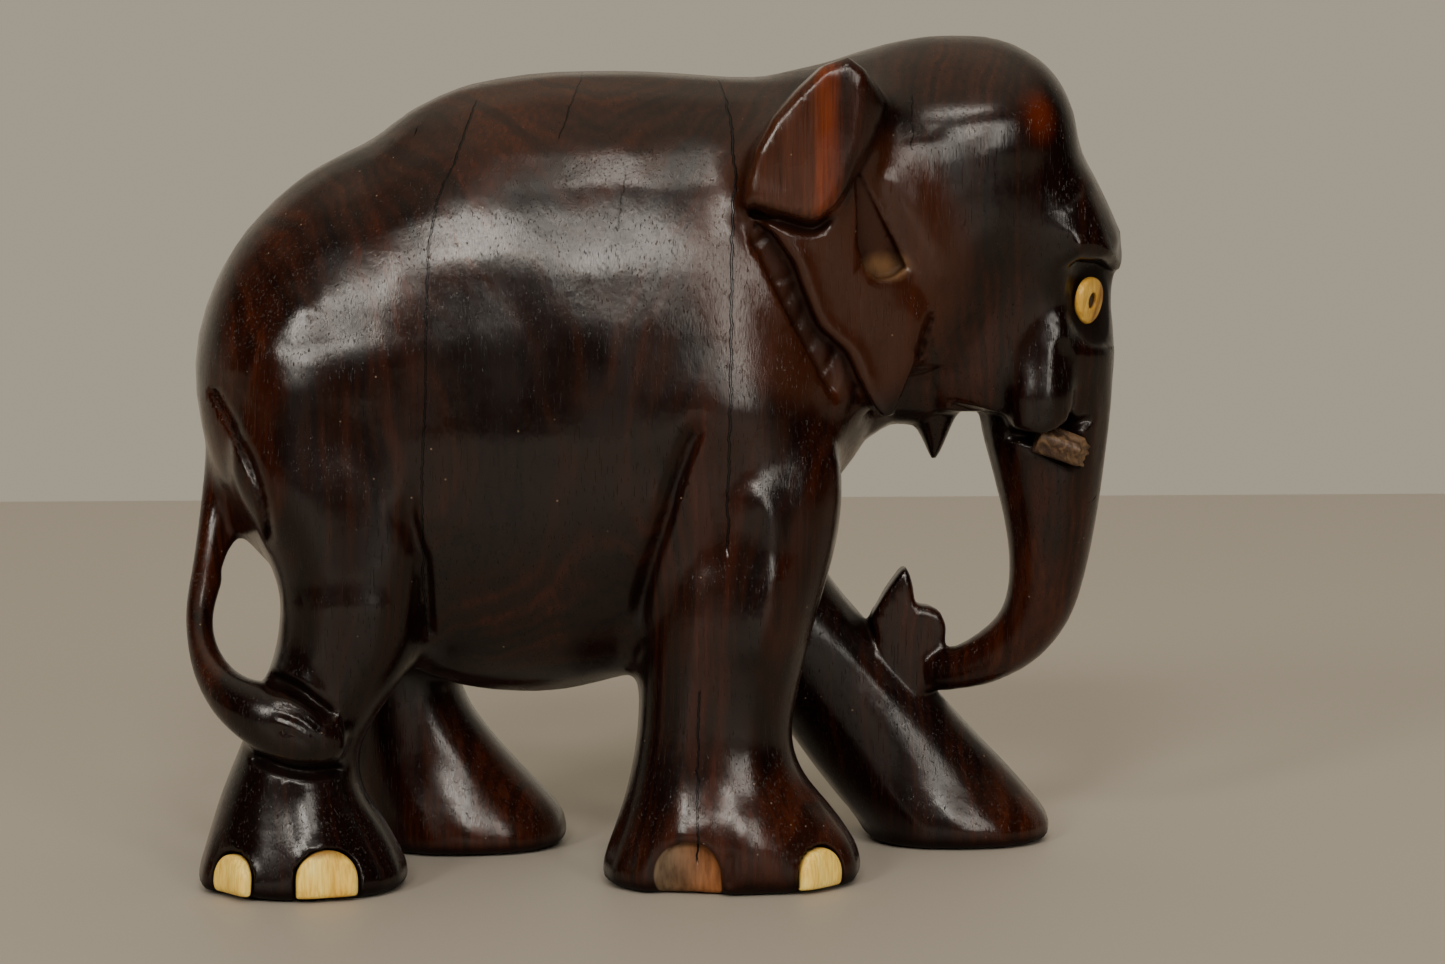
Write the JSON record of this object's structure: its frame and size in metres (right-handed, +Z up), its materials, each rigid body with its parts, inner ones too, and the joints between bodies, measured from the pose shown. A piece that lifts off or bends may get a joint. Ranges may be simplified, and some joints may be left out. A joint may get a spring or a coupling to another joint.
{
  "type": "carved elephant figurine",
  "caption": "Standing elephant carved from one block of dark wood, with inlaid bone toenails on pegs, inlaid bone eyes with dark pupils, and broken tusk stubs.",
  "frame": {"origin": "middle of the bounding box, on the ground under the feet", "axes": "+X forward along the elephant, +Y to its left, +Z up"},
  "size_m": [0.13, 0.056, 0.1152],
  "materials": {
    "dark_wood": "dark rosewood or ebony, oiled and polished to a soft gloss",
    "nail_bone": null,
    "eye_bone": null,
    "pupil_horn": "black wood or horn peg, worn",
    "stained_bone": null,
    "peg_wood": "bare brown wood"
  },
  "bodies": {
    "root": {"carved_body": "dark_wood", "right_eye": "eye_bone", "left_eye": "eye_bone", "right_pupil": "pupil_horn", "left_pupil": "pupil_horn", "right_tusk_stub": "stained_bone", "left_tusk_stub": "stained_bone", "right_front_toenail": "nail_bone", "right_hind_toenail": "nail_bone", "right_hind_rear_toenail": "nail_bone", "left_front_toenail": "nail_bone", "left_front_side_toenail": "nail_bone", "left_hind_toenail": "nail_bone", "left_hind_rear_toenail": "nail_bone", "right_front_nail_peg": "peg_wood", "right_hind_nail_peg": "peg_wood", "right_hind_rear_nail_peg": "peg_wood", "left_front_nail_peg": "peg_wood", "left_front_side_nail_peg": "peg_wood", "left_hind_nail_peg": "peg_wood", "left_hind_rear_nail_peg": "peg_wood"}
  },
  "joints": []
}
